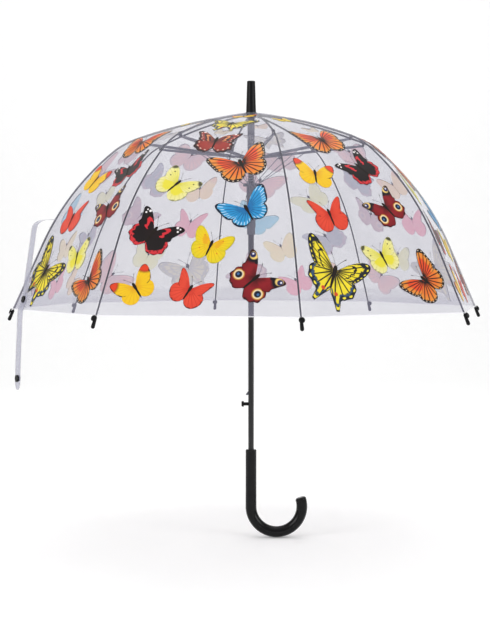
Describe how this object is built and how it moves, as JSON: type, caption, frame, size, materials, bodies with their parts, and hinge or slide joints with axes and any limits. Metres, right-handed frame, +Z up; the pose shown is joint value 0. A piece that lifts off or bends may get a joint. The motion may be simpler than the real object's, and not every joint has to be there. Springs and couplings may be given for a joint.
{
  "type": "bubble umbrella",
  "caption": "Clear bubble umbrella with a deep see-through dome, printed butterflies, a push-button spring opener, a folding rib frame and a crook handle.",
  "frame": {"origin": "on the shaft's axis, halfway down the handle's straight stem", "axes": "+Z up along the shaft, +X from the shaft towards the crook's open end, +Y away from the side that is seen first"},
  "size_m": [0.8376, 0.8376, 0.8088],
  "materials": {
    "black_plastic": "black injection-moulded plastic, glossy",
    "black_shaft": "black stoved paint on a steel tube, glossy",
    "black_ribs": "black coated steel wire, satin",
    "grey_plastic": "dark grey moulded plastic, satin",
    "steel": "zinc-plated steel, drawn and pressed",
    "film": "clear soft PVC film, printed with butterflies in colour",
    "strap_film": "clear soft PVC strip",
    "snap_plastic": "moulded press stud, glossy"
  },
  "bodies": {
    "root": {"shaft_tube": "black_shaft", "crook_handle": "black_plastic", "ferrule": "black_plastic", "crown_notch": "grey_plastic", "top_sleeve": "grey_plastic"},
    "collar": {"slide_collar": "grey_plastic"},
    "runner": {"runner": "grey_plastic", "main_spring": "steel"},
    "button": {"open_button": "black_plastic"},
    "catch": {"runner_catch": "steel"},
    "rib_upper_1": {"rib_upper_1": "black_ribs"},
    "rib_lower_1": {"rib_lower_1": "black_ribs", "rib_tip_1": "black_plastic", "canopy_gore_1": "film"},
    "stretcher_1": {"stretcher_1": "steel"},
    "link_1": {"link_1": "steel"},
    "rib_upper_2": {"rib_upper_2": "black_ribs"},
    "rib_lower_2": {"rib_lower_2": "black_ribs", "rib_tip_2": "black_plastic", "canopy_gore_2": "film"},
    "stretcher_2": {"stretcher_2": "steel"},
    "link_2": {"link_2": "steel"},
    "rib_upper_3": {"rib_upper_3": "black_ribs"},
    "rib_lower_3": {"rib_lower_3": "black_ribs", "rib_tip_3": "black_plastic", "canopy_gore_3": "film"},
    "stretcher_3": {"stretcher_3": "steel"},
    "link_3": {"link_3": "steel"},
    "rib_upper_4": {"rib_upper_4": "black_ribs"},
    "rib_lower_4": {"rib_lower_4": "black_ribs", "rib_tip_4": "black_plastic", "canopy_gore_4": "film"},
    "stretcher_4": {"stretcher_4": "steel"},
    "link_4": {"link_4": "steel"},
    "rib_upper_5": {"rib_upper_5": "black_ribs"},
    "rib_lower_5": {"rib_lower_5": "black_ribs", "rib_tip_5": "black_plastic", "canopy_gore_5": "film", "tie_strap": "strap_film", "strap_snaps": "snap_plastic"},
    "stretcher_5": {"stretcher_5": "steel"},
    "link_5": {"link_5": "steel"},
    "rib_upper_6": {"rib_upper_6": "black_ribs"},
    "rib_lower_6": {"rib_lower_6": "black_ribs", "rib_tip_6": "black_plastic", "canopy_gore_6": "film"},
    "stretcher_6": {"stretcher_6": "steel"},
    "link_6": {"link_6": "steel"},
    "rib_upper_7": {"rib_upper_7": "black_ribs"},
    "rib_lower_7": {"rib_lower_7": "black_ribs", "rib_tip_7": "black_plastic", "canopy_gore_7": "film"},
    "stretcher_7": {"stretcher_7": "steel"},
    "link_7": {"link_7": "steel"},
    "rib_upper_8": {"rib_upper_8": "black_ribs"},
    "rib_lower_8": {"rib_lower_8": "black_ribs", "rib_tip_8": "black_plastic", "canopy_gore_8": "film"},
    "stretcher_8": {"stretcher_8": "steel"},
    "link_8": {"link_8": "steel"}
  },
  "joints": [
    {"name": "runner_slide", "type": "slide", "parent": "root", "child": "runner", "axis": [0, 0, 1], "range_m": [-0.2867, 0], "stiffness_N_per_m": 70, "springref_m": 0.12, "deforming": ["main_spring"]},
    {"name": "collar_slide", "type": "slide", "parent": "root", "child": "collar", "axis": [0, 0, 1], "range_m": [-0.3167, 0]},
    {"name": "rib_fold_1", "type": "hinge", "parent": "root", "child": "rib_upper_1", "pos_m": [0.00847, 0.00149, 0.6436], "axis": [-0.1736, 0.9848, 0], "range_deg": [0, 70.03]},
    {"name": "rib_flex_1", "type": "hinge", "parent": "rib_upper_1", "child": "rib_lower_1", "pos_m": [0.2019, 0.0356, 0.59645], "axis": [-0.1736, 0.9848, 0], "range_deg": [-32.8, 0], "deforming": ["canopy_gore_1"]},
    {"name": "stretcher_fold_1", "type": "hinge", "parent": "rib_upper_1", "child": "stretcher_1", "pos_m": [0.20012, 0.03529, 0.59157], "axis": [-0.1736, 0.9848, 0], "range_deg": [-149.17, 0]},
    {"name": "link_fold_1", "type": "hinge", "parent": "stretcher_1", "child": "link_1", "pos_m": [0.09689, 0.01708, 0.57878], "axis": [-0.1736, 0.9848, 0], "range_deg": [0, 28.4]},
    {"name": "rib_fold_2", "type": "hinge", "parent": "root", "child": "rib_upper_2", "pos_m": [0.00493, 0.00705, 0.6436], "axis": [-0.8192, 0.5736, 0], "range_deg": [0, 70.03]},
    {"name": "rib_flex_2", "type": "hinge", "parent": "rib_upper_2", "child": "rib_lower_2", "pos_m": [0.11759, 0.16794, 0.59645], "axis": [-0.8192, 0.5736, 0], "range_deg": [-32.8, 0], "deforming": ["canopy_gore_2"]},
    {"name": "stretcher_fold_2", "type": "hinge", "parent": "rib_upper_2", "child": "stretcher_2", "pos_m": [0.11656, 0.16646, 0.59157], "axis": [-0.8192, 0.5736, 0], "range_deg": [-149.17, 0]},
    {"name": "link_fold_2", "type": "hinge", "parent": "stretcher_2", "child": "link_2", "pos_m": [0.05643, 0.08059, 0.57878], "axis": [-0.8192, 0.5736, 0], "range_deg": [0, 28.4]},
    {"name": "rib_fold_3", "type": "hinge", "parent": "root", "child": "rib_upper_3", "pos_m": [-0.00149, 0.00847, 0.6436], "axis": [-0.9848, -0.1736, 0], "range_deg": [0, 70.03]},
    {"name": "rib_flex_3", "type": "hinge", "parent": "rib_upper_3", "child": "rib_lower_3", "pos_m": [-0.0356, 0.2019, 0.59645], "axis": [-0.9848, -0.1736, 0], "range_deg": [-32.8, 0], "deforming": ["canopy_gore_3"]},
    {"name": "stretcher_fold_3", "type": "hinge", "parent": "rib_upper_3", "child": "stretcher_3", "pos_m": [-0.03529, 0.20012, 0.59157], "axis": [-0.9848, -0.1736, 0], "range_deg": [-149.17, 0]},
    {"name": "link_fold_3", "type": "hinge", "parent": "stretcher_3", "child": "link_3", "pos_m": [-0.01708, 0.09689, 0.57878], "axis": [-0.9848, -0.1736, 0], "range_deg": [0, 28.4]},
    {"name": "rib_fold_4", "type": "hinge", "parent": "root", "child": "rib_upper_4", "pos_m": [-0.00705, 0.00493, 0.6436], "axis": [-0.5736, -0.8192, 0], "range_deg": [0, 70.03]},
    {"name": "rib_flex_4", "type": "hinge", "parent": "rib_upper_4", "child": "rib_lower_4", "pos_m": [-0.16794, 0.11759, 0.59645], "axis": [-0.5736, -0.8192, 0], "range_deg": [-32.8, 0], "deforming": ["canopy_gore_4"]},
    {"name": "stretcher_fold_4", "type": "hinge", "parent": "rib_upper_4", "child": "stretcher_4", "pos_m": [-0.16646, 0.11656, 0.59157], "axis": [-0.5736, -0.8192, 0], "range_deg": [-149.17, 0]},
    {"name": "link_fold_4", "type": "hinge", "parent": "stretcher_4", "child": "link_4", "pos_m": [-0.08059, 0.05643, 0.57878], "axis": [-0.5736, -0.8192, 0], "range_deg": [0, 28.4]},
    {"name": "rib_fold_5", "type": "hinge", "parent": "root", "child": "rib_upper_5", "pos_m": [-0.00847, -0.00149, 0.6436], "axis": [0.1736, -0.9848, 0], "range_deg": [0, 70.03]},
    {"name": "rib_flex_5", "type": "hinge", "parent": "rib_upper_5", "child": "rib_lower_5", "pos_m": [-0.2019, -0.0356, 0.59645], "axis": [0.1736, -0.9848, 0], "range_deg": [-32.8, 0], "deforming": ["canopy_gore_5", "tie_strap", "strap_snaps"]},
    {"name": "stretcher_fold_5", "type": "hinge", "parent": "rib_upper_5", "child": "stretcher_5", "pos_m": [-0.20012, -0.03529, 0.59157], "axis": [0.1736, -0.9848, 0], "range_deg": [-149.17, 0]},
    {"name": "link_fold_5", "type": "hinge", "parent": "stretcher_5", "child": "link_5", "pos_m": [-0.09689, -0.01708, 0.57878], "axis": [0.1736, -0.9848, 0], "range_deg": [0, 28.4]},
    {"name": "rib_fold_6", "type": "hinge", "parent": "root", "child": "rib_upper_6", "pos_m": [-0.00493, -0.00705, 0.6436], "axis": [0.8192, -0.5736, 0], "range_deg": [0, 70.03]},
    {"name": "rib_flex_6", "type": "hinge", "parent": "rib_upper_6", "child": "rib_lower_6", "pos_m": [-0.11759, -0.16794, 0.59645], "axis": [0.8192, -0.5736, 0], "range_deg": [-32.8, 0], "deforming": ["canopy_gore_6"]},
    {"name": "stretcher_fold_6", "type": "hinge", "parent": "rib_upper_6", "child": "stretcher_6", "pos_m": [-0.11656, -0.16646, 0.59157], "axis": [0.8192, -0.5736, 0], "range_deg": [-149.17, 0]},
    {"name": "link_fold_6", "type": "hinge", "parent": "stretcher_6", "child": "link_6", "pos_m": [-0.05643, -0.08059, 0.57878], "axis": [0.8192, -0.5736, 0], "range_deg": [0, 28.4]},
    {"name": "rib_fold_7", "type": "hinge", "parent": "root", "child": "rib_upper_7", "pos_m": [0.00149, -0.00847, 0.6436], "axis": [0.9848, 0.1736, 0], "range_deg": [0, 70.03]},
    {"name": "rib_flex_7", "type": "hinge", "parent": "rib_upper_7", "child": "rib_lower_7", "pos_m": [0.0356, -0.2019, 0.59645], "axis": [0.9848, 0.1736, 0], "range_deg": [-32.8, 0], "deforming": ["canopy_gore_7"]},
    {"name": "stretcher_fold_7", "type": "hinge", "parent": "rib_upper_7", "child": "stretcher_7", "pos_m": [0.03529, -0.20012, 0.59157], "axis": [0.9848, 0.1736, 0], "range_deg": [-149.17, 0]},
    {"name": "link_fold_7", "type": "hinge", "parent": "stretcher_7", "child": "link_7", "pos_m": [0.01708, -0.09689, 0.57878], "axis": [0.9848, 0.1736, 0], "range_deg": [0, 28.4]},
    {"name": "rib_fold_8", "type": "hinge", "parent": "root", "child": "rib_upper_8", "pos_m": [0.00705, -0.00493, 0.6436], "axis": [0.5736, 0.8192, 0], "range_deg": [0, 70.03]},
    {"name": "rib_flex_8", "type": "hinge", "parent": "rib_upper_8", "child": "rib_lower_8", "pos_m": [0.16794, -0.11759, 0.59645], "axis": [0.5736, 0.8192, 0], "range_deg": [-32.8, 0], "deforming": ["canopy_gore_8"]},
    {"name": "stretcher_fold_8", "type": "hinge", "parent": "rib_upper_8", "child": "stretcher_8", "pos_m": [0.16646, -0.11656, 0.59157], "axis": [0.5736, 0.8192, 0], "range_deg": [-149.17, 0]},
    {"name": "link_fold_8", "type": "hinge", "parent": "stretcher_8", "child": "link_8", "pos_m": [0.08059, -0.05643, 0.57878], "axis": [0.5736, 0.8192, 0], "range_deg": [0, 28.4]},
    {"name": "button_press", "type": "slide", "parent": "root", "child": "button", "axis": [1, 0, 0], "range_m": [0, 0.0039], "stiffness_N_per_m": 900, "springref_m": -0.002},
    {"name": "catch_press", "type": "slide", "parent": "root", "child": "catch", "axis": [1, 0, 0], "range_m": [0, 0.004]}
  ],
  "couplings": [
    {"joint": "collar_slide", "follows": "runner_slide", "ratio": 1.0976},
    {"joint": "rib_fold_1", "follows": "runner_slide", "rad_per_m": -4.2328},
    {"joint": "rib_flex_1", "follows": "runner_slide", "rad_per_m": 1.9665},
    {"joint": "stretcher_fold_1", "follows": "runner_slide", "rad_per_m": 9.0505},
    {"joint": "link_fold_1", "follows": "runner_slide", "rad_per_m": -1.6985},
    {"joint": "rib_fold_2", "follows": "runner_slide", "rad_per_m": -4.2328},
    {"joint": "rib_flex_2", "follows": "runner_slide", "rad_per_m": 1.9665},
    {"joint": "stretcher_fold_2", "follows": "runner_slide", "rad_per_m": 9.0505},
    {"joint": "link_fold_2", "follows": "runner_slide", "rad_per_m": -1.6985},
    {"joint": "rib_fold_3", "follows": "runner_slide", "rad_per_m": -4.2328},
    {"joint": "rib_flex_3", "follows": "runner_slide", "rad_per_m": 1.9665},
    {"joint": "stretcher_fold_3", "follows": "runner_slide", "rad_per_m": 9.0505},
    {"joint": "link_fold_3", "follows": "runner_slide", "rad_per_m": -1.6985},
    {"joint": "rib_fold_4", "follows": "runner_slide", "rad_per_m": -4.2328},
    {"joint": "rib_flex_4", "follows": "runner_slide", "rad_per_m": 1.9665},
    {"joint": "stretcher_fold_4", "follows": "runner_slide", "rad_per_m": 9.0505},
    {"joint": "link_fold_4", "follows": "runner_slide", "rad_per_m": -1.6985},
    {"joint": "rib_fold_5", "follows": "runner_slide", "rad_per_m": -4.2328},
    {"joint": "rib_flex_5", "follows": "runner_slide", "rad_per_m": 1.9665},
    {"joint": "stretcher_fold_5", "follows": "runner_slide", "rad_per_m": 9.0505},
    {"joint": "link_fold_5", "follows": "runner_slide", "rad_per_m": -1.6985},
    {"joint": "rib_fold_6", "follows": "runner_slide", "rad_per_m": -4.2328},
    {"joint": "rib_flex_6", "follows": "runner_slide", "rad_per_m": 1.9665},
    {"joint": "stretcher_fold_6", "follows": "runner_slide", "rad_per_m": 9.0505},
    {"joint": "link_fold_6", "follows": "runner_slide", "rad_per_m": -1.6985},
    {"joint": "rib_fold_7", "follows": "runner_slide", "rad_per_m": -4.2328},
    {"joint": "rib_flex_7", "follows": "runner_slide", "rad_per_m": 1.9665},
    {"joint": "stretcher_fold_7", "follows": "runner_slide", "rad_per_m": 9.0505},
    {"joint": "link_fold_7", "follows": "runner_slide", "rad_per_m": -1.6985},
    {"joint": "rib_fold_8", "follows": "runner_slide", "rad_per_m": -4.2328},
    {"joint": "rib_flex_8", "follows": "runner_slide", "rad_per_m": 1.9665},
    {"joint": "stretcher_fold_8", "follows": "runner_slide", "rad_per_m": 9.0505},
    {"joint": "link_fold_8", "follows": "runner_slide", "rad_per_m": -1.6985},
    {"joint": "catch_press", "follows": "button_press", "ratio": 1}
  ]
}
